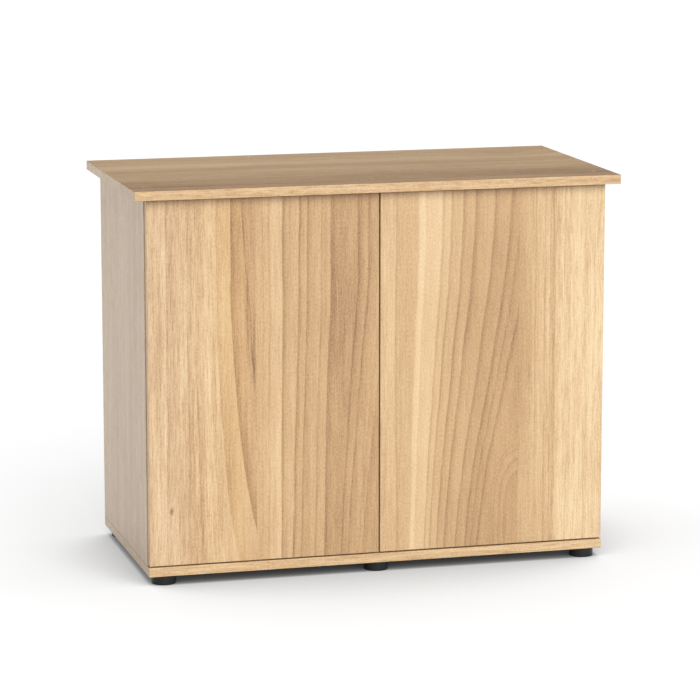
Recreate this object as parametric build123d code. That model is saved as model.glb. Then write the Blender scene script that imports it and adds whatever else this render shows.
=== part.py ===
from build123d import *
import os

# Aquarium stand cabinet for a 100 x 50 cm tank, in millimetres.
# The origin is on the floor under the middle of the top. +X is to the right, the doors face -Y, +Z is up.

# ---- Driving dimensions ----
TOP_WIDTH = 1010
TOP_DEPTH = 510
HEIGHT = 804
BOARD = 19          # thickness of the top and the base
PANEL = 16          # thickness of every other board
BODY_WIDTH = 960    # width of the base and of the carcass
BODY_DEPTH = 470    # depth of the base
EDGE_ROUND = 0.8    # rounding on the edges of boards that show

FOOT_RADIUS = 25
FOOT_HEIGHT = 19
FOOT_X = 445
FOOT_Y = 208

DOOR_GAP = 3        # between the doors, and above and below them
DOOR_INSET = 1.5    # from the side panel's outer face to the door's outer edge
PARTITION_INSET = 5  # partition's front edge behind the doors' back face
BACK_INSET = 3      # back panel's rear face in from the base's rear edge

SHELF_UNDERSIDE = 488
SHELF_CLEARANCE = 1
SHELF_SETBACK = 18  # shelf's front edge behind the side panel's front edge
PIN_ROW_Y = (-179, 165)
PIN_RADIUS = 2.5
PIN_PITCH = 32

NOTCH_WIDTH = 130
NOTCH_HEIGHT = 90
NOTCH_ROUND = 20

CAP_RECESS = 2
DOWEL_RADIUS = 4
DOWEL_LENGTH = 30

HINGE_FROM_END = 95  # hinge centre from the door's top or bottom edge
LATCH_Z = 704
LATCH_BORE_GAP = 0.05

# ---- Levels and planes worked out from them ----
BASE_TOP = FOOT_HEIGHT + BOARD
TOP_UNDERSIDE = HEIGHT - BOARD
FRONT = -BODY_DEPTH / 2
REAR = BODY_DEPTH / 2
DOOR_BACK = FRONT + PANEL
SIDE_FRONT = DOOR_BACK + DOOR_GAP
SIDE_INNER = BODY_WIDTH / 2 - PANEL
SIDE_MIDDLE = BODY_WIDTH / 2 - PANEL / 2
BACK_REAR = REAR - BACK_INSET
BACK_FRONT = BACK_REAR - PANEL
BACK_MIDDLE = BACK_REAR - PANEL / 2
PARTITION_FRONT = DOOR_BACK + PARTITION_INSET
DOOR_BOTTOM = BASE_TOP + DOOR_GAP
DOOR_TOP = TOP_UNDERSIDE - DOOR_GAP
DOOR_OUTER = BODY_WIDTH / 2 - DOOR_INSET
DOOR_INNER = DOOR_GAP / 2
HINGE_Z = {"lower": DOOR_BOTTOM + HINGE_FROM_END, "upper": DOOR_TOP - HINGE_FROM_END}
SIDES = {"left": -1, "right": 1}
UP = (0, 0, 1)
DOWN = (0, 0, -1)
TO_DOOR = (0, -1, 0)
TO_REAR = (0, 1, 0)

# Where screws and dowels join the upright boards to the top and the base.
SCREW_PLACES = [(side * SIDE_MIDDLE, y) for side in (-1, 1) for y in (-183, 172)]
SCREW_PLACES += [(0, -177), (0, 146), (-160, BACK_MIDDLE), (160, BACK_MIDDLE)]
DOWEL_PLACES = [(side * SIDE_MIDDLE, y) for side in (-1, 1) for y in (-130, 0, 120)]
DOWEL_PLACES += [(0, y) for y in (-130, 0, 90)]
DOWEL_PLACES += [(x, BACK_MIDDLE) for x in (-260, -60, 60, 260)]
FOOT_PLACES = {
    f"foot_{row}_{column}": (x, y)
    for row, y in (("front", -FOOT_Y), ("back", FOOT_Y))
    for column, x in (("left", -FOOT_X), ("middle", 0), ("right", FOOT_X))
}


# ---- Shapes used throughout ----
def block(x, y, z):
    """A rectangular block that fills three (low, high) spans."""
    sizes = [high - low for low, high in (x, y, z)]
    middle = [(high + low) / 2 for low, high in (x, y, z)]
    return Pos(*middle) * Box(*sizes)


def board(x, y, z):
    """A block with all its edges slightly rounded, as an edged board has."""
    solid = block(x, y, z)
    return fillet(solid.edges(), EDGE_ROUND)


def rod(start, direction, radius, length):
    """A cylinder that starts at a point and runs along a direction."""
    return taper(start, direction, radius, radius, length)


def taper(start, direction, start_radius, end_radius, length):
    """A cylinder or cone that starts at a point and runs along a direction."""
    flush = (Align.CENTER, Align.CENTER, Align.MIN)
    if start_radius == end_radius:
        solid = Cylinder(start_radius, length, align=flush)
    else:
        solid = Cone(start_radius, end_radius, length, align=flush)
    return Plane(origin=start, z_dir=direction) * solid


def along(start, direction, distance):
    """The point a distance along a direction from a start."""
    return tuple(s + distance * d for s, d in zip(start, direction))


def hexagon(start, direction, across_flats, length):
    """A hexagonal bar that starts at a point and runs along a direction."""
    outline = RegularPolygon(across_flats / 2, 6, major_radius=False)
    return Plane(origin=start, z_dir=direction) * extrude(outline, length)


def cross_recess(start, direction, width, depth):
    """The cross cut in a screw head."""
    flush = (Align.CENTER, Align.CENTER, Align.MIN)
    cross = Box(width, width / 4, depth, align=flush) + Box(width / 4, width, depth, align=flush)
    return Plane(origin=start, z_dir=direction) * cross


def stepped_shape(start, direction, steps):
    """A turned shape: each step is (start radius, end radius, length)."""
    solid = None
    for start_radius, end_radius, length in steps:
        piece = taper(start, direction, start_radius, end_radius, length)
        solid = piece if solid is None else solid + piece
        start = along(start, direction, length)
    return solid


def group(solids):
    """Separate solids kept together as one node."""
    return Compound(children=[piece.solid() for piece in solids])


def mirrored(shape, side):
    """The shape as drawn for the left, or its mirror image for the right."""
    return shape if side < 0 else mirror(shape, about=Plane.YZ)


# ---- Screws and dowels ----
def connector_screw_shape(start, direction, body_length):
    """The outside of a countersunk connector screw: head, plain body, thinner thread and point."""
    steps = [(5, 3.5, 2), (3.5, 3.5, body_length - 2), (2.5, 2.5, 30), (2.5, 0.8, 3)]
    return stepped_shape(start, direction, steps)


def connector_screw(start, direction, body_length):
    """A connector screw with a hexagonal socket in its head."""
    socket = hexagon(start, direction, 4, 3)
    return connector_screw_shape(start, direction, body_length) - socket


def wood_screw_shape(start, direction, head_radius, length):
    """The outside of a small countersunk wood screw."""
    shank = head_radius / 2
    steps = [(head_radius, shank, shank), (shank, shank, length - 2 * shank), (shank, 0.3, shank)]
    return stepped_shape(start, direction, steps)


def wood_screw(start, direction, head_radius, length):
    """A small countersunk wood screw with a cross recess."""
    recess = cross_recess(start, direction, head_radius, 1)
    return wood_screw_shape(start, direction, head_radius, length) - recess


def top_screw_shape(x, y):
    """A connector screw's space in the top and in the board under it, with the cap's recess."""
    recess = rod((x, y, HEIGHT), DOWN, 5, CAP_RECESS)
    return recess + connector_screw_shape((x, y, HEIGHT - CAP_RECESS), DOWN, BOARD - CAP_RECESS)


def base_screw_shape(x, y):
    """A connector screw's space in the base and in the board above it."""
    return connector_screw_shape((x, y, FOOT_HEIGHT), UP, BOARD)


def top_screw(x, y):
    """A connector screw driven down through the top, below its cap."""
    return connector_screw((x, y, HEIGHT - CAP_RECESS), DOWN, BOARD - CAP_RECESS)


def base_screw(x, y):
    """A connector screw driven up through the base."""
    return connector_screw((x, y, FOOT_HEIGHT), UP, BOARD)


def screw_cap(x, y):
    """A flush cap over a connector screw, with a stem that plugs into its socket."""
    disc = rod((x, y, HEIGHT - CAP_RECESS), UP, 4.8, CAP_RECESS - 0.2)
    disc = fillet(disc.edges().group_by(Axis.Z)[-1], 0.4)
    return disc + hexagon((x, y, HEIGHT - CAP_RECESS), DOWN, 3.9, 2.5)


def dowel_hole(x, y, joint_z, into_panel):
    """A dowel's hole: 12 mm into the top or base, 20 mm into the upright board."""
    return rod((x, y, joint_z - 12 * into_panel), (0, 0, into_panel), DOWEL_RADIUS, 32)


def dowel(x, y, joint_z, into_panel):
    """A dowel with chamfered ends, centred in its hole's length."""
    pin = rod((x, y, joint_z - 11 * into_panel), (0, 0, into_panel), DOWEL_RADIUS, DOWEL_LENGTH)
    return chamfer(pin.edges().filter_by(GeomType.CIRCLE), 1)


def top_joints():
    """Every screw and dowel space where uprights meet the top."""
    screws = [top_screw_shape(x, y) for x, y in SCREW_PLACES]
    return screws + [dowel_hole(x, y, TOP_UNDERSIDE, -1) for x, y in DOWEL_PLACES]


def base_joints():
    """Every screw and dowel space where uprights meet the base."""
    screws = [base_screw_shape(x, y) for x, y in SCREW_PLACES]
    return screws + [dowel_hole(x, y, BASE_TOP, 1) for x, y in DOWEL_PLACES]


def upright_joints():
    """Every screw and dowel space that enters an upright board."""
    return top_joints() + base_joints()


# ---- Feet ----
def foot_screw_shape(x, y):
    """The outside of the screw that holds a foot, driven up from inside the foot's recess."""
    return stepped_shape((x, y, 5), UP, [(4.2, 4.2, 2.5), (2, 2, 20), (2, 0.3, 2)])


def foot_screw(x, y):
    """A pan-headed foot screw with a cross recess."""
    return foot_screw_shape(x, y) - cross_recess((x, y, 5), UP, 4.5, 1.2)


def foot(x, y):
    """A moulded round foot: a drum with soft edges, a tread groove and a screw recess from below."""
    drum = rod((x, y, 0), UP, FOOT_RADIUS, FOOT_HEIGHT)
    drum = fillet(drum.edges().group_by(Axis.Z)[0], 1.5)
    drum = fillet(drum.edges().group_by(Axis.Z)[-1], 0.6)
    groove = rod((x, y, 0), UP, 20, 1) - rod((x, y, 0), UP, 17, 1)
    recess = rod((x, y, 0), UP, 6, 7.5)
    return drum - groove - recess - foot_screw_shape(x, y)


# ---- Carcass boards ----
def pin_hole(face_x, into, y, z):
    """A shelf pin hole that enters a board's face."""
    return rod((face_x, y, z), (into, 0, 0), PIN_RADIUS, 7)


def pin_holes(face_x, into):
    """Two rows of three shelf pin holes in one face."""
    middle = SHELF_UNDERSIDE - PIN_RADIUS
    heights = [middle + step * PIN_PITCH for step in (-1, 0, 1)]
    return [pin_hole(face_x, into, y, z) for y in PIN_ROW_Y for z in heights]


def base_panel():
    """The base board, drilled for screws, dowels and feet."""
    half = BODY_WIDTH / 2
    panel = board((-half, half), (FRONT, REAR), (FOOT_HEIGHT, BASE_TOP))
    return panel - base_joints() - [foot_screw_shape(x, y) for x, y in FOOT_PLACES.values()]


def top_panel():
    """The top board that the tank stands on."""
    half_width = TOP_WIDTH / 2
    half_depth = TOP_DEPTH / 2
    panel = board((-half_width, half_width), (-half_depth, half_depth), (TOP_UNDERSIDE, HEIGHT))
    return panel - top_joints()


def side_panel(side):
    """A side board with its shelf pin holes and hinge screw holes."""
    span = sorted((side * SIDE_INNER, side * BODY_WIDTH / 2))
    panel = board(span, (SIDE_FRONT, REAR), (BASE_TOP, TOP_UNDERSIDE))
    panel -= upright_joints()
    panel -= pin_holes(side * SIDE_INNER, side)
    for level in HINGE_Z:
        panel -= [at_hinge(hinge_plate_screw_shape(z), side, level) for z in PLATE_SCREW_Z]
    return panel


def centre_partition():
    """The board between the two bays, which holds the latches."""
    half = PANEL / 2
    panel = board((-half, half), (PARTITION_FRONT, BACK_FRONT), (BASE_TOP, TOP_UNDERSIDE))
    panel -= upright_joints()
    for side in SIDES.values():
        panel -= pin_holes(side * half, -side)
        panel -= [latch_screw_shape(side, z) for z in LATCH_SCREW_Z]
    return panel


def back_panel():
    """The back board, notched at both top corners for hoses and cables."""
    panel = board((-SIDE_INNER, SIDE_INNER), (BACK_FRONT, BACK_REAR), (BASE_TOP, TOP_UNDERSIDE))
    for side in SIDES.values():
        span = sorted((side * (SIDE_INNER - NOTCH_WIDTH), side * (SIDE_INNER + NOTCH_ROUND)))
        height = (TOP_UNDERSIDE - NOTCH_HEIGHT, TOP_UNDERSIDE + NOTCH_ROUND)
        notch = block(span, (BACK_FRONT - 1, BACK_REAR + 1), height)
        panel -= fillet(notch.edges().filter_by(Axis.Y), NOTCH_ROUND)
    return panel - upright_joints()


def shelf(side):
    """A loose shelf that rests on four pins."""
    span = sorted((side * (PANEL / 2 + SHELF_CLEARANCE), side * (SIDE_INNER - SHELF_CLEARANCE)))
    depth = (SIDE_FRONT + SHELF_SETBACK, BACK_FRONT - DOOR_GAP)
    return board(span, depth, (SHELF_UNDERSIDE, SHELF_UNDERSIDE + PANEL))


def shelf_pin(face_x, into, y):
    """A pin in the middle hole of a row: plug, thin collar and the stub under the shelf."""
    z = SHELF_UNDERSIDE - PIN_RADIUS
    plug_end = (face_x + 6 * into, y, z)
    plug = [(2, PIN_RADIUS, 1), (PIN_RADIUS, PIN_RADIUS, 5)]
    collar = [(4, 4, 0.8)]
    stub = [(PIN_RADIUS, PIN_RADIUS, 8)]
    return stepped_shape(plug_end, (-into, 0, 0), plug + collar + stub)


def shelf_pins():
    """Four pins in each bay."""
    faces = [(side * SIDE_INNER, side) for side in SIDES.values()]
    faces += [(side * PANEL / 2, -side) for side in SIDES.values()]
    return group([shelf_pin(face_x, into, y) for face_x, into in faces for y in PIN_ROW_Y])


# ---- Concealed hinges ----
# A hinge is drawn for the left door about its own origin: the side panel's front inner edge at the hinge's
# height. There +X points into the bay and +Y to the rear, so the door's back face is at Y = -DOOR_GAP.
CUP_RADIUS = 17.5
CUP_DEPTH = 12.5
CUP_WALL = 1
CUP_X = 20.5 + DOOR_INSET - PANEL
FLANGE = 0.8
FLANGE_SCREW_X = CUP_X + 6
FLANGE_SCREW_Z = (-24, 24)
HINGE_PIN = (-8, -11.2)
HINGE_PIN_RADIUS = 1
HINGE_PIN_HALF = 8.5
HINGE_PIN_GAP = 0.05
EYE_RADIUS = 1.8
EYE_HALF = 4
NECK_X = (3.2, 6)
ARM_HALF = 7
ARM_WALL = 1.5
ARM_Y = (10, 70)
ARM_TOP = 16
PLATE = 3
PLATE_SCREW_Y = 37
PLATE_SCREW_Z = (-16, 16)
ARM_SCREW_Y = (26, 52)
TO_SIDE = (-1, 0, 0)


def at_hinge(shape, side, level):
    """A hinge piece moved to its place at the left or right, lower or upper hinge."""
    return Pos(side * SIDE_INNER, SIDE_FRONT, HINGE_Z[level]) * mirrored(shape, side)


def hinge_cup():
    """The cup let into the door, its flange, and the two lugs that hold the pin."""
    mouth = (CUP_X, -DOOR_GAP, 0)
    inside = rod(mouth, TO_DOOR, CUP_RADIUS - CUP_WALL, CUP_DEPTH - CUP_WALL)
    flange = rod(mouth, TO_REAR, CUP_RADIUS + 1.2, FLANGE)
    ears = block((CUP_X - 2, CUP_X + 12), (-DOOR_GAP, FLANGE - DOOR_GAP), (-31, 31))
    flange += fillet(ears.edges().filter_by(Axis.Y), 5)
    flange -= rod(mouth, TO_REAR, CUP_RADIUS - CUP_WALL, FLANGE)
    lugs = block((-13, -5), (-15, -8.4), (EYE_HALF + 0.3, 10))
    lugs += block((-13, -5), (-15, -8.4), (-10, -EYE_HALF - 0.3))
    cup = rod(mouth, TO_DOOR, CUP_RADIUS, CUP_DEPTH) - inside + (lugs & inside) + flange
    cup -= rod((*HINGE_PIN, -HINGE_PIN_HALF), UP, HINGE_PIN_RADIUS, 2 * HINGE_PIN_HALF)
    return cup - [cup_screw_shape(z) for z in FLANGE_SCREW_Z]


def cup_bore():
    """The blind hole that takes the cup."""
    return rod((CUP_X, -DOOR_GAP, 0), TO_DOOR, CUP_RADIUS, CUP_DEPTH)


def cup_screw_shape(z):
    """The outside of a screw through the cup's flange."""
    return wood_screw_shape((FLANGE_SCREW_X, FLANGE - DOOR_GAP, z), TO_DOOR, 3.6, 13)


def cup_screw(z):
    """A screw through the cup's flange into the door."""
    return wood_screw((FLANGE_SCREW_X, FLANGE - DOOR_GAP, z), TO_DOOR, 3.6, 13)


def hinge_pin():
    """The pin that the door turns on, held in the cup's lugs."""
    return rod((*HINGE_PIN, -HINGE_PIN_HALF), UP, HINGE_PIN_RADIUS, 2 * HINGE_PIN_HALF)


def hinge_arm():
    """The arm: an eye on the pin, a gooseneck round the door's edge, and a channel over the plate."""
    pin_x, pin_y = HINGE_PIN
    low, high = NECK_X
    reach = block((pin_x, high), (pin_y - 1, pin_y + 1), (-EYE_HALF, EYE_HALF))
    riser = block((low, high), (pin_y - 1, ARM_Y[0] + ARM_WALL), (-EYE_HALF, EYE_HALF))
    neck = reach + riser
    neck = fillet(neck.edges().filter_by(Axis.Z).sort_by_distance((high, pin_y - 1, 0))[0], 2)
    nose = block((low, ARM_TOP), (ARM_Y[0], ARM_Y[0] + ARM_WALL), (-ARM_HALF, ARM_HALF))
    web = block((ARM_TOP - ARM_WALL, ARM_TOP), ARM_Y, (-ARM_HALF, ARM_HALF))
    arm = neck + nose + web + rod((pin_x, pin_y, -EYE_HALF), UP, EYE_RADIUS, 2 * EYE_HALF)
    for edge in (-1, 1):
        flank = sorted((edge * ARM_HALF, edge * (ARM_HALF - ARM_WALL)))
        arm += block((PLATE + 1, ARM_TOP), ARM_Y, flank)
    arm -= rod((pin_x, pin_y, -EYE_HALF), UP, HINGE_PIN_RADIUS + HINGE_PIN_GAP, 2 * EYE_HALF)
    return arm - [arm_screw_shape(y) for y in ARM_SCREW_Y]


def hinge_plate():
    """The winged plate screwed to the side panel, with the saddle that the arm sits on."""
    half = ARM_HALF - ARM_WALL - 0.2
    wings = fillet(block((0, PLATE), (24, 50), (-24, 24)).edges().filter_by(Axis.X), 6)
    plate = wings + block((0, ARM_TOP - ARM_WALL), (16, 66), (-half, half))
    plate -= [hinge_plate_screw_shape(z) for z in PLATE_SCREW_Z]
    return plate - [arm_screw_shape(y) for y in ARM_SCREW_Y]


def hinge_plate_screw_shape(z):
    """The outside of a screw through the plate into the side panel."""
    return wood_screw_shape((PLATE, PLATE_SCREW_Y, z), TO_SIDE, 4.5, 14)


def hinge_plate_screw(z):
    """A screw through the plate into the side panel."""
    return wood_screw((PLATE, PLATE_SCREW_Y, z), TO_SIDE, 4.5, 14)


def arm_screw_shape(y):
    """The outside of a machine screw through the arm into the plate's saddle."""
    return stepped_shape((ARM_TOP + 2, y, 0), TO_SIDE, [(4, 4, 2), (2, 2, 8)])


def arm_screw(y):
    """A pan-headed machine screw with a cross recess."""
    return arm_screw_shape(y) - cross_recess((ARM_TOP + 2, y, 0), TO_SIDE, 4, 1.2)


# ---- Push-to-open latches ----
LATCH_X = PANEL / 2 + 8.5
LATCH_HALF = 6.5
LATCH_LENGTH = 75
LATCH_PLATE = 2
LATCH_SCREW_Y = PARTITION_FRONT + 40
LATCH_SCREW_Z = (LATCH_Z - 12, LATCH_Z + 12)
PLUNGER_RADIUS = 4
PLUNGER_LENGTH = 60
MAGNET_RADIUS = 4.5
MAGNET_THICKNESS = 3
STRIKER_RADIUS = 7.5
STRIKER_THICKNESS = 1
STRIKER_GAP = 0.3
MAGNET_FRONT = DOOR_BACK + STRIKER_THICKNESS + STRIKER_GAP


def latch_screw_shape(side, z):
    """The outside of a screw through a latch's plate into the partition."""
    head = (side * (PANEL / 2 + LATCH_PLATE), LATCH_SCREW_Y, z)
    return wood_screw_shape(head, (-side, 0, 0), 3, 9)


def latch_screw(side, z):
    """A screw through a latch's plate into the partition."""
    head = (side * (PANEL / 2 + LATCH_PLATE), LATCH_SCREW_Y, z)
    return wood_screw(head, (-side, 0, 0), 3, 9)


def latch_housing(side):
    """The latch's square barrel on its cross-shaped plate, bored for the plunger."""
    face = side * PANEL / 2
    plate_span = sorted((face, face + side * LATCH_PLATE))
    barrel_span = sorted((face + side * LATCH_PLATE, side * (LATCH_X + LATCH_HALF)))
    length = (PARTITION_FRONT, PARTITION_FRONT + LATCH_LENGTH)
    height = (LATCH_Z - LATCH_HALF, LATCH_Z + LATCH_HALF)
    barrel = block(barrel_span, length, height)
    outer_face = barrel.faces().sort_by(Axis.X)[0 if side < 0 else -1]
    barrel = fillet(outer_face.edges().filter_by(Axis.Y), 2)
    strip = block(plate_span, length, height)
    ears = block(plate_span, (LATCH_SCREW_Y - 9, LATCH_SCREW_Y + 9), (LATCH_Z - 18, LATCH_Z + 18))
    ears = fillet(ears.edges().filter_by(Axis.X), 5)
    mouth = (side * LATCH_X, PARTITION_FRONT, LATCH_Z)
    bore = rod(mouth, TO_REAR, PLUNGER_RADIUS + LATCH_BORE_GAP, PLUNGER_LENGTH + 4)
    return barrel + strip + ears - bore - [latch_screw_shape(side, z) for z in LATCH_SCREW_Z]


def latch_magnet(side):
    """The magnet on the plunger's tip, just behind the striker plate."""
    return rod((side * LATCH_X, MAGNET_FRONT, LATCH_Z), TO_REAR, MAGNET_RADIUS, MAGNET_THICKNESS)


def latch_plunger(side):
    """The plunger, which slides in the housing's bore."""
    start = (side * LATCH_X, MAGNET_FRONT + MAGNET_THICKNESS, LATCH_Z)
    return rod(start, TO_REAR, PLUNGER_RADIUS, PLUNGER_LENGTH)


def striker_screw_shape(side):
    """The outside of the screw through a striker plate."""
    return wood_screw_shape((side * LATCH_X, DOOR_BACK + STRIKER_THICKNESS, LATCH_Z), TO_DOOR, 3, 10)


def striker_screw(side):
    """The screw that holds a striker plate on the door."""
    return wood_screw((side * LATCH_X, DOOR_BACK + STRIKER_THICKNESS, LATCH_Z), TO_DOOR, 3, 10)


def striker(side):
    """The steel disc on the door that the magnet holds."""
    start = (side * LATCH_X, DOOR_BACK, LATCH_Z)
    return rod(start, TO_REAR, STRIKER_RADIUS, STRIKER_THICKNESS) - striker_screw_shape(side)


# ---- Doors ----
def door(side):
    """A door board, bored for its hinge cups and drilled for its screws."""
    span = sorted((side * DOOR_INNER, side * DOOR_OUTER))
    panel = board(span, (FRONT, DOOR_BACK), (DOOR_BOTTOM, DOOR_TOP))
    for level in HINGE_Z:
        panel -= at_hinge(cup_bore(), side, level)
        panel -= [at_hinge(cup_screw_shape(z), side, level) for z in FLANGE_SCREW_Z]
    return panel - striker_screw_shape(side)


# ---- Nodes ----
def carcass_nodes():
    """The fixed boards with everything that joins them."""
    nodes = {
        "base_panel": base_panel(),
        "top_panel": top_panel(),
        "centre_partition": centre_partition(),
        "back_panel": back_panel(),
        "shelf_pins": shelf_pins(),
        "top_screws": group([top_screw(x, y) for x, y in SCREW_PLACES]),
        "base_screws": group([base_screw(x, y) for x, y in SCREW_PLACES]),
        "top_screw_caps": group([screw_cap(x, y) for x, y in SCREW_PLACES]),
        "dowels_top": group([dowel(x, y, TOP_UNDERSIDE, -1) for x, y in DOWEL_PLACES]),
        "dowels_base": group([dowel(x, y, BASE_TOP, 1) for x, y in DOWEL_PLACES]),
        "foot_screws": group([foot_screw(x, y) for x, y in FOOT_PLACES.values()]),
    }
    for name, (x, y) in FOOT_PLACES.items():
        nodes[name] = foot(x, y)
    for word, side in SIDES.items():
        nodes[f"side_panel_{word}"] = side_panel(side)
        nodes[f"shelf_{word}"] = shelf(side)
    return nodes


def hinge_nodes():
    """The four hinges: plates and arms on the carcass, cups and pins on the doors."""
    nodes = {}
    plate_screws = []
    arm_screws = []
    for word, side in SIDES.items():
        for level in HINGE_Z:
            nodes[f"hinge_plate_{level}_{word}"] = at_hinge(hinge_plate(), side, level)
            nodes[f"hinge_arm_{level}_{word}"] = at_hinge(hinge_arm(), side, level)
            nodes[f"hinge_cup_{level}_{word}"] = at_hinge(hinge_cup(), side, level)
            plate_screws += [at_hinge(hinge_plate_screw(z), side, level) for z in PLATE_SCREW_Z]
            arm_screws += [at_hinge(arm_screw(y), side, level) for y in ARM_SCREW_Y]
        nodes[f"hinge_pins_{word}"] = group([at_hinge(hinge_pin(), side, level) for level in HINGE_Z])
        nodes[f"hinge_cup_screws_{word}"] = group(
            [at_hinge(cup_screw(z), side, level) for level in HINGE_Z for z in FLANGE_SCREW_Z]
        )
    nodes["hinge_plate_screws"] = group(plate_screws)
    nodes["hinge_arm_screws"] = group(arm_screws)
    return nodes


def door_nodes():
    """The doors and their push-to-open latches."""
    nodes = {}
    for word, side in SIDES.items():
        nodes[f"door_{word}"] = door(side)
        nodes[f"latch_housing_{word}"] = latch_housing(side)
        nodes[f"latch_plunger_{word}"] = latch_plunger(side)
        nodes[f"latch_magnet_{word}"] = latch_magnet(side)
        nodes[f"striker_{word}"] = striker(side)
        nodes[f"striker_screw_{word}"] = striker_screw(side)
    latch_screws = [latch_screw(side, z) for side in SIDES.values() for z in LATCH_SCREW_Z]
    nodes["latch_screws"] = group(latch_screws)
    return nodes


os.makedirs("parts", exist_ok=True)
for node, shape in {**carcass_nodes(), **hinge_nodes(), **door_nodes()}.items():
    export_step(shape, f"parts/{node}.step")
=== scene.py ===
import math

import bpy
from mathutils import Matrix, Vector


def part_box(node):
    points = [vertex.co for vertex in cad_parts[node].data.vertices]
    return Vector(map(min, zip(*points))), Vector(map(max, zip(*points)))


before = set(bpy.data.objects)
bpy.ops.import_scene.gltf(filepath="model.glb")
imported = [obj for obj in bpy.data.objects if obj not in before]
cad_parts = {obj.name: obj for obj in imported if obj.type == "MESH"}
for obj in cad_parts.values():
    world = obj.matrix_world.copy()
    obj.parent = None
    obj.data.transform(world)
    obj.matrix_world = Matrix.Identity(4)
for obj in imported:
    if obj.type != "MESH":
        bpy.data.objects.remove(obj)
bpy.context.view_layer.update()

# ---- Sizes and places, in metres, in the CAD frame ----
CAMERA_PLACE = Vector((-1.7529, -6.4859, 1.6677))
CAMERA_YAW = math.radians(15.135)       # to the right of straight ahead
CAMERA_PITCH = math.radians(10.527)     # downwards
CAMERA_LENS = 167.8                     # focal length and sensor width, in millimetres
SENSOR = 36.0
FLOOR_HALF = 40.0
MILLIMETRE = 0.001
X, Y, Z = 0, 1, 2

# ---- Light ----
SURROUNDINGS = 0.37     # radiance of the surroundings
KEY = 3.55              # strength of the key light
KEY_AZIMUTH = 9         # in degrees: 0 comes from the front, 90 from the right
KEY_ELEVATION = 30
KEY_SPREAD = 50         # how wide the key light looks, in degrees
FLOOR_GLOW = 0.80       # how much the floor glows to the camera
FLOOR_BOUNCE = 0.10     # the share of that glow which lights matt surfaces
FLOOR_MIRROR = 2.05     # and the share which shows in reflections
FLOOR_GREY = 0.28       # how much light the floor scatters
CONTACT_REACH = 0.7     # how near a thing has to be to cast the floor's painted contact shadow
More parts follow.
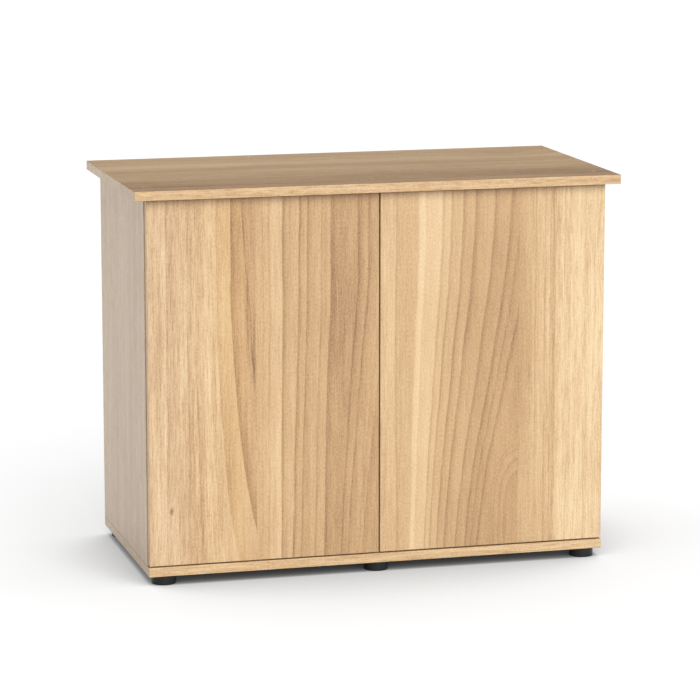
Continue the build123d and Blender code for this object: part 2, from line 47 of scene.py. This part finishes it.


# ---- Node-building helpers ----
class Graph:
    """A material's node tree, with one short call for each kind of node."""

    def __init__(self, name):
        self.material = bpy.data.materials.new(name)
        self.material.use_nodes = True
        self.tree = self.material.node_tree
        self.tree.nodes.clear()

    def node(self, kind, **settings):
        made = self.tree.nodes.new("ShaderNode" + kind)
        for key, value in settings.items():
            setattr(made, key, value)
        return made

    def plug(self, socket, value):
        """Links a node's output to a socket, or sets the socket to a plain value."""
        if isinstance(value, bpy.types.NodeSocket):
            self.tree.links.new(value, socket)
        else:
            socket.default_value = value

    def plug_all(self, made, values):
        """Fills a node's inputs in their own order; returns its first output."""
        for socket, value in zip(made.inputs, values):
            self.plug(socket, value)
        return made.outputs[0]

    def math(self, operation, *values):
        return self.plug_all(self.node("Math", operation=operation), values)

    def add(self, a, b):
        return self.math("ADD", a, b)

    def sub(self, a, b):
        return self.math("SUBTRACT", a, b)

    def mul(self, a, b):
        return self.math("MULTIPLY", a, b)

    def length(self, a, b):
        """The length of a flat vector."""
        return self.math("SQRT", self.add(self.mul(a, a), self.mul(b, b)))

    def smooth(self, value, low, high, out_low=0.0, out_high=1.0):
        """A smooth step from out_low to out_high as value goes from low to high."""
        made = self.node("MapRange", interpolation_type="SMOOTHSTEP")
        return self.plug_all(made, (value, low, high, out_low, out_high))

    def linear(self, value, low, high, out_low=0.0, out_high=1.0):
        """A clamped straight line from out_low to out_high as value goes from low to high."""
        made = self.node("MapRange", interpolation_type="LINEAR")
        return self.plug_all(made, (value, low, high, out_low, out_high))

    def ridge(self, distance, inner, outer):
        """1 within the inner distance to either side of a line, falling to 0 at the outer one."""
        return self.smooth(self.math("ABSOLUTE", distance), inner, outer, 1.0, 0.0)

    def centred(self, value, swing):
        """A value from 0 to 1 as one that swings about 0, by half the swing each way."""
        return self.mul(self.sub(value, 0.5), swing)

    def mix(self, factor, a, b):
        """Between two numbers."""
        made = self.node("Mix", data_type="FLOAT")
        self.plug(made.inputs["Factor"], factor)
        self.plug(made.inputs["A"], a)
        self.plug(made.inputs["B"], b)
        return made.outputs[0]

    def mix_colour(self, factor, a, b, blend="MIX"):
        """Between two colours. A colour Mix node has its factor, A and B at inputs 0, 6 and 7."""
        made = self.node("Mix", data_type="RGBA", blend_type=blend)
        self.plug(made.inputs[0], factor)
        self.plug(made.inputs[6], a)
        self.plug(made.inputs[7], b)
        return made.outputs[2]

    def combine(self, x, y, z):
        return self.plug_all(self.node("CombineXYZ"), (x, y, z))

    def noise(self, vector, scale=1.0, detail=2.0, roughness=0.5):
        made = self.node("TexNoise")
        self.plug(made.inputs["Vector"], vector)
        self.plug(made.inputs["Scale"], scale)
        self.plug(made.inputs["Detail"], detail)
        self.plug(made.inputs["Roughness"], roughness)
        return made.outputs["Fac"]

    def ramp(self, factor, stops):
        """A straight ramp of grey or RGB stops, each (position, value)."""
        made = self.node("ValToRGB")
        elements = made.color_ramp.elements
        while len(elements) > 1:
            elements.remove(elements[-1])
        for index, (position, value) in enumerate(stops):
            element = elements[0] if index == 0 else elements.new(position)
            element.position = position
            colour = value if isinstance(value, tuple) else (value, value, value)
            element.color = (*colour, 1.0)
        self.plug(made.inputs[0], factor)
        return made.outputs[0]

    def point(self):
        """The shading point in the CAD frame at rest, in metres."""
        return self.node("TexCoord").outputs["Object"]

    def place(self):
        """The same point as separate X, Y and Z."""
        made = self.node("SeparateXYZ")
        self.plug(made.inputs[0], self.point())
        return made.outputs

    def bump(self, height, distance):
        """The normal of a surface that rises by a distance, in metres, as height goes from 0 to 1."""
        made = self.node("Bump")
        self.plug(made.inputs["Height"], height)
        made.inputs["Distance"].default_value = distance
        made.inputs["Strength"].default_value = 1.0
        return made.outputs[0]

    def surface(self, colour, roughness, normal, **constants):
        """The finished surface; returns the material. The constants are the shader's own sockets."""
        shader = self.node("BsdfPrincipled")
        self.plug(shader.inputs["Base Color"], colour)
        self.plug(shader.inputs["Roughness"], roughness)
        self.plug(shader.inputs["Normal"], normal)
        for key, value in constants.items():
            shader.inputs[key.replace("_", " ")].default_value = value
        return self.output(shader.outputs[0])

    def output(self, shader):
        self.plug(self.node("OutputMaterial").inputs[0], shader)
        return self.material


# ---- Wood decor: the parts that every board shares ----
# Tone 0 is the darkest growth line and tone 1 the palest cream band.
WOOD_TONES = [
    (0.0, (0.205, 0.108, 0.042)),
    (0.2, (0.330, 0.194, 0.085)),
    (0.4, (0.440, 0.270, 0.128)),
    (0.6, (0.530, 0.355, 0.184)),
    (0.8, (0.615, 0.438, 0.240)),
    (1.0, (0.690, 0.530, 0.315)),
]
COOL_TINT = (0.985, 1.0, 1.12, 1.0)
WARM_TINT = (1.030, 1.0, 0.92, 1.0)

# How far the fine grain moves the tone. A pair is for plain grain and for straight, streaky grain.
FIBRE_SWING = (0.05, 0.26)
STREAK_SWING = (0.02, 0.18)
PORE_SWING = (0.06, 0.28)
FLECK_SWING = 0.18
DRIFT_SWING = 0.15
SEAM_SHADE = 0.18

SATIN = 0.40            # roughness of the facing
EMBOSS = 0.00005        # depth of the grain that is pressed into it
BANDING = 0.001         # thickness of the edge banding
SEAM_CORE = 0.00008     # half the width of the fully dark seam beside the banding
SEAM_EDGE = 0.0003      # and half the width out to where it ends
SWAY = 0.008            # how far growth lines wander slowly
TREMBLE = 0.0020        # and how far they tremble


def profile(graph, across, span, points):
    """A value across a stave, from points that are each (place in mm, value)."""
    low, high = span
    stops = [((place - low) / (high - low), value) for place, value in points]
    return graph.ramp(graph.linear(across, low * MILLIMETRE, high * MILLIMETRE), stops)


def band_tone(graph, across, span, bands, shade=0.10):
    """The tone across a stave. Each band is (left edge in mm, tone).

    A band starts at its left edge darker than its tone by half the shade, and ends paler by as much.
    """
    points = []
    for index, (edge, tone) in enumerate(bands):
        if index:
            tone_before = bands[index - 1][1]
            points.append((edge - 1.0, tone_before + shade / 2))
        points.append((edge + 0.6, tone - shade / 2))
    return profile(graph, across, span, points)


def line_depth(graph, across, span, lines):
    """How dark the growth lines are. Each is (place in mm, fade in mm, depth), sharp on its left side."""
    points = [(span[0], 0.0)]
    for place, fade, depth in lines:
        points += [(place - 1.3, 0.0), (place + 0.3, depth), (place + fade, 0.0)]
    return profile(graph, across, span, points)


def fine_grain(graph, across, along, depth):
    """Fibres, slow streaks, short pores, flecks and a slow drift: five numbers, at real scale."""
    def streaks(fine, long, detail, roughness=0.5):
        """Noise with this many waves in a metre across the grain (fine) and along it (long)."""
        stretched = graph.combine(graph.mul(across, fine), graph.mul(along, long), graph.mul(depth, fine))
        return graph.noise(stretched, 1.0, detail, roughness)

    fibre = graph.smooth(streaks(300, 9, 4, 0.65), 0.30, 0.70, -0.5, 0.5)
    streak = graph.smooth(streaks(95, 2.2, 2), 0.28, 0.72, -0.5, 0.5)
    pores = graph.smooth(streaks(560, 30, 3, 0.7), 0.42, 0.66)
    flecks = graph.smooth(streaks(430, 190, 2), 0.30, 0.70, -0.5, 0.5)
    drift = graph.smooth(streaks(13, 3.2, 3), 0.25, 0.75, -0.5, 0.5)
    return fibre, streak, pores, flecks, drift


def banding_seam(graph, place, box, axes):
    """1 on the thin seam where the edge banding meets a board's face, and 1 on the banding itself."""
    low, high = box
    distances = []
    for axis in axes:
        distances.append(graph.sub(place[axis], low[axis]))
        distances.append(graph.sub(high[axis], place[axis]))
    nearest = distances[0]
    for distance in distances[1:]:
        nearest = graph.math("MINIMUM", nearest, distance)
    seam = graph.ridge(graph.sub(nearest, BANDING), SEAM_CORE, SEAM_EDGE)
    banding = graph.smooth(nearest, BANDING - 0.0002, BANDING, 1.0, 0.0)
    return seam, banding


def wood_surface(graph, tone, grain, seam, straight, warm=0.0):
    """Turns a tone and its fine grain into a satin, lightly embossed faced board.

    straight is 1 where the grain is straight and streaky, and 0 where it is plain.
    warm goes from -1, greyer, to 1.
    """
    fibre, streak, pores, flecks, drift = grain
    tone = graph.add(tone, graph.mul(fibre, graph.linear(straight, 0.0, 1.0, *FIBRE_SWING)))
    tone = graph.add(tone, graph.mul(streak, graph.linear(straight, 0.0, 1.0, *STREAK_SWING)))
    tone = graph.sub(tone, graph.centred(pores, graph.linear(straight, 0.0, 1.0, *PORE_SWING)))
    tone = graph.add(tone, graph.mul(flecks, FLECK_SWING))
    tone = graph.add(tone, graph.mul(drift, DRIFT_SWING))
    tone = graph.sub(tone, graph.mul(seam, SEAM_SHADE))
    colour = graph.ramp(tone, WOOD_TONES)
    tint = graph.mix_colour(graph.linear(warm, -1.0, 1.0), COOL_TINT, WARM_TINT)
    colour = graph.mix_colour(1.0, colour, tint, blend="MULTIPLY")
    height = graph.sub(graph.mul(fibre, 0.4), graph.add(pores, seam))
    roughness = graph.add(SATIN, graph.add(graph.mul(fibre, 0.06), graph.mul(pores, 0.10)))
    return graph.surface(colour, roughness, graph.bump(height, EMBOSS), Specular_IOR_Level=0.5)


def wander(graph, x, z, offset):
    """How far the growth lines wander sideways: a slow sway and a small tremble."""
    sway = graph.noise(graph.combine(graph.mul(x, 6), offset, graph.mul(z, 5)))
    tremble = graph.noise(graph.combine(graph.mul(x, 20), offset, graph.mul(z, 28)))
    return graph.add(graph.centred(sway, SWAY), graph.centred(tremble, TREMBLE))


# ---- The doors' figure ----
# A door's veneer pattern is two staves side by side. Bands and lines are stated where they meet the top
# of the left door, or the foot of the right one. Where they lean, a point is moved sideways to match.
LEFT_JOINT = -0.257     # where the left door's two staves meet
RIGHT_JOINT = 0.296     # and the right door's
HALF_JOINT = 0.0008     # half the width over which one stave gives way to the other
LEAN_FOOT = 0.04        # level at which leaning lines and arches end, by the doors' bottom edge
KNOT_PLACE = (-0.432, 0.152)
KNOT_RADIUS = 0.006
ARCH_HALF_WIDTH = 0.059
ARCH_HEIGHT = 0.210


def join_staves(graph, x, joint, left_stave, right_stave):
    """The left stave's tone before the joint, and the right one's after it."""
    share = graph.smooth(x, joint - HALF_JOINT, joint + HALF_JOINT)
    return graph.mix(share, left_stave, right_stave)


def left_door_tone(graph, x, z):
    """A straight stave with a tan heart and a flame, then one whose bands lean to a point."""
    wave = wander(graph, x, z, 0.0)
    outer_across = outer_stave_across(graph, x, z, wave)
    outer = outer_stave_tone(graph, outer_across)
    inner = inner_stave_tone(graph, inner_stave_across(graph, x, z, wave))
    tone = join_staves(graph, x, LEFT_JOINT, outer, inner)
    marks = graph.add(flame(graph, x, z), pin_knot(graph, x, z))
    straight = graph.linear(x, -0.350, -0.300, 0.9, 0.30)
    heart = graph.mul(graph.smooth(outer_across, -0.341, -0.337), graph.smooth(x, -0.300, -0.256, 1.0, 0.0))
    warm = graph.sub(graph.mul(heart, 0.8), graph.linear(x, -0.440, -0.360, 0.7, 0.0))
    return graph.sub(tone, marks), straight, warm


def outer_stave_across(graph, x, z, wave):
    """The left door's outer stave: lines near the joint lean to the right as they go down."""
    sink = graph.math("POWER", graph.linear(z, 0.60, LEAN_FOOT), 1.5)
    lean = graph.mul(graph.mul(sink, graph.linear(x, -0.400, -0.258)), 0.060)
    return graph.add(graph.sub(x, lean), wave)


def outer_stave_tone(graph, across):
    span = (-479, -256)
    tone = band_tone(graph, across, span, [
        (-478, 0.56), (-462, 0.62), (-440, 0.52), (-418, 0.57), (-398, 0.50), (-381, 0.54),
        (-362, 0.60), (-355, 0.56), (-338, 0.50), (-308, 0.36), (-282, 0.39),
    ])
    lines = line_depth(graph, across, span, [
        (-440, 5, 0.10), (-398, 6, 0.08), (-381, 5, 0.10), (-338, 8, 0.06), (-308, 14, 0.18),
    ])
    return graph.sub(tone, lines)


def inner_stave_across(graph, x, z, wave):
    """The left door's inner stave: its lines lean to the left as they go down, most at the door's edge."""
    drop = graph.math("POWER", graph.linear(z, 0.62, LEAN_FOOT), 1.15)
    swing = graph.add(graph.smooth(x, -0.21, -0.18, 0.004, 0.016), graph.linear(x, -0.117, 0.0, 0.0, 0.068))
    return graph.add(graph.add(x, graph.mul(drop, swing)), wave)


def inner_stave_tone(graph, across):
    span = (-258, 90)
    tone = band_tone(graph, across, span, [
        (-257, 0.50), (-230, 0.64), (-202, 0.49), (-168, 0.42), (-151, 0.38), (-122, 0.38),
        (-102, 0.27), (-45, 0.36), (-23, 0.39), (8, 0.40), (24, 0.34), (50, 0.38),
    ])
    lines = line_depth(graph, across, span, [
        (-243, 4, 0.08), (-230, 6, 0.20), (-202, 9, 0.22), (-168, 7, 0.22), (-151, 6, 0.16),
        (-122, 5, 0.12), (-102, 16, 0.13), (-45, 7, 0.20), (-23, 7, 0.16),
    ])
    return graph.sub(tone, lines)


def flame(graph, x, z):
    """The feathered dark flame beside the left door's stave joint, and the line that closes below it."""
    away = graph.sub(x, graph.linear(z, 0.78, 0.40, -0.284, -0.260))
    broken = graph.noise(graph.combine(graph.mul(away, 210), 0.0, graph.mul(z, 8)), 1.0, 3, 0.6)
    broken = graph.smooth(broken, 0.46, 0.66)
    core = graph.ridge(away, 0.001, 0.007)
    left_wing = graph.smooth(away, -0.026, -0.002)
    right_wing = graph.smooth(away, 0.0, 0.010, 1.0, 0.0)
    wing = graph.mul(graph.mul(left_wing, right_wing), graph.smooth(z, 0.74, 0.62))
    feathers = graph.mul(broken, graph.add(graph.mul(core, 0.34), graph.mul(wing, 0.24)))
    feathers = graph.add(feathers, graph.mul(core, 0.06))
    feathers = graph.mul(feathers, graph.smooth(z, 0.38, 0.46))
    line = graph.ridge(graph.sub(x, -0.2605), 0.0005, 0.0040)
    line_reach = graph.mul(graph.smooth(z, 0.33, 0.46), graph.smooth(z, 0.60, 0.50))
    return graph.add(feathers, graph.mul(graph.mul(line, line_reach), 0.22))


def pin_knot(graph, x, z):
    """A small dark knot, drawn out a little along the grain."""
    across = graph.sub(x, KNOT_PLACE[0])
    along = graph.mul(graph.sub(z, KNOT_PLACE[1]), 0.55)
    return graph.smooth(graph.length(across, along), KNOT_RADIUS * 0.2, KNOT_RADIUS, 0.55, 0.0)


def right_door_tone(graph, x, z):
    """A stave whose bands lean and close into arches, then one of straight pale grain."""
    wave = wander(graph, x, z, 4.0)
    reach = arch_reach(graph, x, z)
    inside = graph.smooth(reach, 0.98, 1.02, 1.0, 0.0)
    leaning = leaning_stave_tone(graph, leaning_stave_across(graph, x, z, wave))
    first = graph.mix(inside, leaning, arch_tone(graph, reach))
    second = pale_stave_tone(graph, graph.add(x, graph.mul(wave, 0.6)))
    tone = join_staves(graph, x, RIGHT_JOINT, first, second)
    straight = graph.add(graph.linear(x, 0.290, 0.380, 0.12, 0.9), graph.linear(x, 0.0, 0.07, 0.50, 0.0))
    return tone, straight, 0.0


def leaning_stave_across(graph, x, z, wave):
    """The right door's first stave: its lines spread apart as they rise, and fan to the right."""
    rise = graph.smooth(z, -0.05, 0.80)
    spread = graph.add(1.0, graph.mul(rise, 0.72))
    across = graph.math("DIVIDE", graph.add(x, graph.mul(rise, 0.0274)), spread)
    return graph.add(graph.math("MINIMUM", across, 0.231), wave)


def leaning_stave_tone(graph, across):
    span = (0, 234)
    tone = band_tone(graph, across, span, [
        (1, 0.57), (35, 0.55), (62, 0.84), (72, 0.71), (93, 0.63), (104, 0.55), (119, 0.46),
        (134, 0.43), (158, 0.39), (178, 0.35), (190, 0.37), (203, 0.36), (217, 0.39),
    ], shade=0.06)
    lines = line_depth(graph, across, span, [
        (35, 4, 0.16), (62, 3, 0.16), (93, 4, 0.18), (104, 4, 0.18), (119, 5, 0.20),
        (134, 8, 0.21), (158, 6, 0.19), (178, 6, 0.18), (190, 4, 0.12), (203, 6, 0.17),
    ])
    return graph.sub(tone, lines)


def pale_stave_tone(graph, across):
    span = (290, 480)
    tone = band_tone(graph, across, span, [
        (292, 0.44), (318, 0.50), (330, 0.54), (350, 0.56), (362, 0.46), (375, 0.70), (392, 0.76),
        (412, 0.84), (436, 0.80), (455, 0.84),
    ])
    lines = line_depth(graph, across, span, [
        (330, 5, 0.10), (350, 4, 0.08), (368, 8, 0.10), (404, 5, 0.10), (436, 5, 0.08),
    ])
    return graph.sub(tone, lines)


def arch_reach(graph, x, z):
    """0 at the foot of the arches on the right door's stave joint, and 1 on the outermost of them."""
    across = graph.math("DIVIDE", graph.sub(RIGHT_JOINT, x), ARCH_HALF_WIDTH)
    height = graph.math("MAXIMUM", graph.sub(z, LEAN_FOOT), 0.0)
    up = graph.math("DIVIDE", height, ARCH_HEIGHT)
    total = graph.add(graph.math("POWER", across, 2.0), graph.math("POWER", up, 4.0))
    tremble = graph.noise(graph.combine(graph.mul(x, 25), 2.0, graph.mul(z, 25)))
    return graph.add(graph.math("SQRT", total), graph.centred(tremble, 0.10))


def arch_tone(graph, reach):
    """The nested arches from their foot outwards."""
    return graph.ramp(reach, [
        (0.0, 0.33), (0.42, 0.30), (0.52, 0.23), (0.56, 0.37), (0.66, 0.33), (0.71, 0.23),
        (0.75, 0.40), (0.86, 0.36), (0.885, 0.26), (0.93, 0.38), (1.0, 0.26),
    ])


def door_decor(side):
    """The veneer pattern of one door, upright."""
    node = f"door_{side}"
    graph = Graph(f"decor_{node}")
    x, y, z = place = graph.place()
    figure = left_door_tone if side == "left" else right_door_tone
    tone, straight, warm = figure(graph, x, z)
    seam, banding = banding_seam(graph, place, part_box(node), (X, Z))
    tone = graph.mix(graph.mul(banding, 0.7), tone, 0.62)
    return wood_surface(graph, tone, fine_grain(graph, x, z, y), seam, straight, warm)


# ---- The other boards' figure ----
RINGS = 16              # growth rings in a metre of a plain board


def plain_tone(graph, across, along, cut, contrast):
    """Growth rings of a plain board: wavy bands that darken slowly and end at a line."""
    sway = graph.noise(graph.combine(graph.mul(across, 3), graph.mul(along, 0.9), cut))
    field = graph.add(graph.mul(across, RINGS), graph.mul(sway, 4.5))
    shape = graph.ramp(graph.math("FRACT", field), [
        (0.0, 0.55), (0.04, 1.0), (0.55, 0.75), (0.93, 0.40), (0.985, 0.0), (1.0, 0.55),
    ])
    slow = graph.noise(graph.combine(graph.mul(across, 9), graph.mul(along, 0.4), cut), detail=1)
    ring = graph.mul(graph.sub(shape, 0.6), contrast)
    return graph.add(0.58, graph.add(ring, graph.centred(slow, 0.5)))


def top_tone(graph, x, y):
    """The top panel's long flat bands, a paler one behind the middle, and a swirl at the right."""
    sway = graph.noise(graph.combine(graph.mul(x, 2.2), graph.mul(y, 5), 9.0))
    swirl_x = graph.sub(x, 0.385)
    swirl_y = graph.mul(graph.sub(y, 0.130), 2.2)
    swirl = graph.smooth(graph.length(swirl_x, swirl_y), 0.0, 0.16, 0.050, 0.0)
    across = graph.add(graph.add(y, graph.centred(sway, 0.030)), swirl)
    span = (-262, 320)
    tone = band_tone(graph, across, span, [
        (-260, 0.34), (-205, 0.29), (-160, 0.34), (-122, 0.47), (-85, 0.53), (-30, 0.54),
        (22, 0.47), (62, 0.58), (84, 0.72), (140, 0.58), (185, 0.52), (225, 0.58),
    ], shade=0.04)
    lines = line_depth(graph, across, span, [
        (-205, 10, 0.16), (-122, 12, 0.20), (-85, 8, 0.12), (22, 10, 0.14), (140, 10, 0.10),
    ])
    return graph.sub(tone, lines)


def board_decor(node, grain, thin, cut, contrast=0.22):
    """The decor of one board. grain and thin are the axes of its fibres and of its thickness.

    cut says where in the trunk the board comes from, so that no two boards are alike.
    """
    graph = Graph(f"decor_{node}")
    place = graph.place()
    faces = [axis for axis in (X, Y, Z) if axis != thin]
    across_axis = [axis for axis in faces if axis != grain][0]
    across = graph.add(place[across_axis], cut)
    if node == "top_panel":
        tone = top_tone(graph, place[X], place[Y])
    else:
        tone = plain_tone(graph, across, place[grain], cut * 10, contrast)
    seam, banding = banding_seam(graph, place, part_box(node), faces)
    tone = graph.mix(graph.mul(banding, 0.7), tone, 0.58)
    straight = graph.mix(banding, 0.4, 1.5)
    return wood_surface(graph, tone, fine_grain(graph, across, place[grain], place[thin]), seam, straight)


# ---- Other materials ----
def shaded(colour, factor):
    return tuple(factor * channel for channel in colour)


def moulded_plastic(name, colour, roughness, specular=0.5):
    """Moulded plastic with a fine spark-eroded texture."""
    graph = Graph(name)
    texture = graph.noise(graph.point(), 2600, 2, 0.6)
    cloud = graph.noise(graph.point(), 40)
    tinted = graph.ramp(cloud, [(0.3, shaded(colour, 0.85)), (0.7, shaded(colour, 1.12))])
    rough = graph.linear(cloud, 0.3, 0.7, roughness - 0.06, roughness + 0.06)
    return graph.surface(tinted, rough, graph.bump(texture, 0.00004), Specular_IOR_Level=specular)


def plated_steel(name, colour, roughness):
    """Plated pressed steel with faint brushing from front to back."""
    graph = Graph(name)
    x, y, z = graph.place()
    stretched = graph.combine(graph.mul(x, 3000), graph.mul(y, 60), graph.mul(z, 3000))
    brushing = graph.noise(stretched, 1.0, 2, 0.6)
    cloud = graph.noise(graph.point(), 90)
    tinted = graph.ramp(cloud, [(0.3, shaded(colour, 0.86)), (0.7, colour)])
    clouded = graph.linear(cloud, 0.3, 0.7, roughness - 0.05, roughness + 0.05)
    rough = graph.add(clouded, graph.mul(brushing, 0.08))
    return graph.surface(tinted, rough, graph.bump(brushing, 0.00001), Metallic=1.0)


def bare_beech():
    """Bare dowel wood with fluting marks."""
    graph = Graph("bare_beech")
    x, y, z = graph.place()
    stretched = graph.combine(graph.mul(x, 900), graph.mul(y, 900), graph.mul(z, 60))
    fibre = graph.noise(stretched, 1.0, 3, 0.6)
    colour = graph.ramp(fibre, [(0.3, (0.44, 0.28, 0.14)), (0.7, (0.60, 0.42, 0.24))])
    return graph.surface(colour, 0.6, graph.bump(fibre, 0.00008))


def studio_floor():
    """A plain pale floor that glows a little, with a painted contact shadow: its glow and grey dim where
    something stands close over it.
    """
    graph = Graph("studio_floor")
    openness = graph.node("AmbientOcclusion", samples=24)
    openness.inputs["Distance"].default_value = CONTACT_REACH
    # Painted contact shadow: ambient occlusion darkens the floor's glow and its grey near anything standing
    # over it.
    shade = graph.ramp(openness.outputs["AO"], [
        (0.0, 0.02), (0.05, 0.07), (0.20, 0.19), (0.32, 0.28), (0.50, 0.58), (0.70, 0.86), (1.0, 1.0),
    ])
    glow = graph.mul(shade, FLOOR_GLOW)
    ray = graph.node("LightPath")
    glow = graph.mul(glow, graph.mix(ray.outputs["Is Diffuse Ray"], 1.0, FLOOR_BOUNCE))
    glow = graph.mul(glow, graph.mix(ray.outputs["Is Glossy Ray"], 1.0, FLOOR_MIRROR))
    black = (0.0, 0.0, 0.0, 1.0)
    grey = (FLOOR_GREY, FLOOR_GREY, FLOOR_GREY, 1.0)
    diffuse = graph.node("BsdfDiffuse")
    graph.plug(diffuse.inputs["Color"], graph.mix_colour(shade, black, grey))
    emission = graph.node("Emission")
    graph.plug(emission.inputs["Strength"], glow)
    both = graph.plug_all(graph.node("AddShader"), (diffuse.outputs[0], emission.outputs[0]))
    return graph.output(both)


# ---- Dressing the CAD nodes ----
def dress(material, *nodes):
    """Gives CAD nodes a material."""
    for name in nodes:
        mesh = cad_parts[name].data
        mesh.materials.clear()
        mesh.materials.append(material)


def dress_boards():
    """Every board gets its own cut of the decor."""
    for side in ("left", "right"):
        dress(door_decor(side), f"door_{side}")
    for side, cut in (("left", 3.1), ("right", 5.3)):
        node = f"side_panel_{side}"
        dress(board_decor(node, Z, X, cut, contrast=0.12), node)
    boards = [
        ("shelf_left", X, Z, 1.7),
        ("shelf_right", X, Z, 6.9),
        ("top_panel", X, Z, 2.3),
        ("base_panel", X, Z, 4.4),
        ("centre_partition", Z, X, 7.7),
        ("back_panel", Z, Y, 8.2),
    ]
    for node, grain, thin, cut in boards:
        dress(board_decor(node, grain, thin, cut), node)


def nodes_named(*starts):
    return [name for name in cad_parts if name.startswith(starts)]


def dress_hardware():
    """Feet, caps, screws, hinges, latches and dowels."""
    feet = [name for name in nodes_named("foot_") if name != "foot_screws"]
    dress(moulded_plastic("foot_plastic", (0.006, 0.006, 0.006), 0.50, specular=0.22), *feet)
    dress(moulded_plastic("cap_plastic", (0.58, 0.46, 0.32), 0.40), "top_screw_caps")
    latches = nodes_named("latch_housing", "latch_plunger")
    dress(moulded_plastic("latch_plastic", (0.30, 0.30, 0.29), 0.40), *latches)
    dress(plated_steel("hinge_steel", (0.62, 0.60, 0.57), 0.28), *nodes_named("hinge_"))
    screws = nodes_named("top_screws", "base_screws", "foot_screws", "latch_screws", "striker_screw")
    screws += nodes_named("hinge_plate_screws", "hinge_arm_screws", "hinge_cup_screws")
    dress(plated_steel("screw_steel", (0.60, 0.60, 0.58), 0.34), "shelf_pins", *screws)
    dress(plated_steel("magnet_steel", (0.52, 0.52, 0.53), 0.22), "striker_left", "striker_right")
    dress(plated_steel("magnet_face", (0.42, 0.42, 0.43), 0.30), *nodes_named("latch_magnet"))
    dress(bare_beech(), "dowels_top", "dowels_base")


# ---- Stage ----
def make_floor():
    mesh = bpy.data.meshes.new("floor")
    half = FLOOR_HALF
    corners = [(-half, -half, 0), (half, -half, 0), (half, half, 0), (-half, half, 0)]
    mesh.from_pydata(corners, [], [(0, 1, 2, 3)])
    mesh.materials.append(studio_floor())
    floor = bpy.data.objects.new("floor", mesh)
    bpy.context.scene.collection.objects.link(floor)


def make_lights():
    """Even surroundings and one wide, soft key light from the front."""
    world = bpy.data.worlds.new("studio")
    world.use_nodes = True
    background = world.node_tree.nodes["Background"]
    background.inputs["Color"].default_value = (1, 1, 1, 1)
    background.inputs["Strength"].default_value = SURROUNDINGS
    bpy.context.scene.world = world
    data = bpy.data.lights.new("key", "SUN")
    data.angle = math.radians(KEY_SPREAD)
    data.energy = KEY
    light = bpy.data.objects.new("key", data)
    light.rotation_euler = (math.pi / 2 - math.radians(KEY_ELEVATION), 0, math.radians(KEY_AZIMUTH))
    bpy.context.scene.collection.objects.link(light)


def make_camera():
    data = bpy.data.cameras.new("camera")
    data.sensor_width = SENSOR
    data.lens = CAMERA_LENS
    data.dof.use_dof = False
    camera = bpy.data.objects.new("camera", data)
    camera.location = CAMERA_PLACE
    camera.rotation_euler = (math.pi / 2 - CAMERA_PITCH, 0, -CAMERA_YAW)
    bpy.context.scene.collection.objects.link(camera)
    bpy.context.scene.camera = camera


make_camera()
make_floor()
make_lights()
dress_boards()
dress_hardware()
bpy.context.scene.view_settings.view_transform = "Standard"
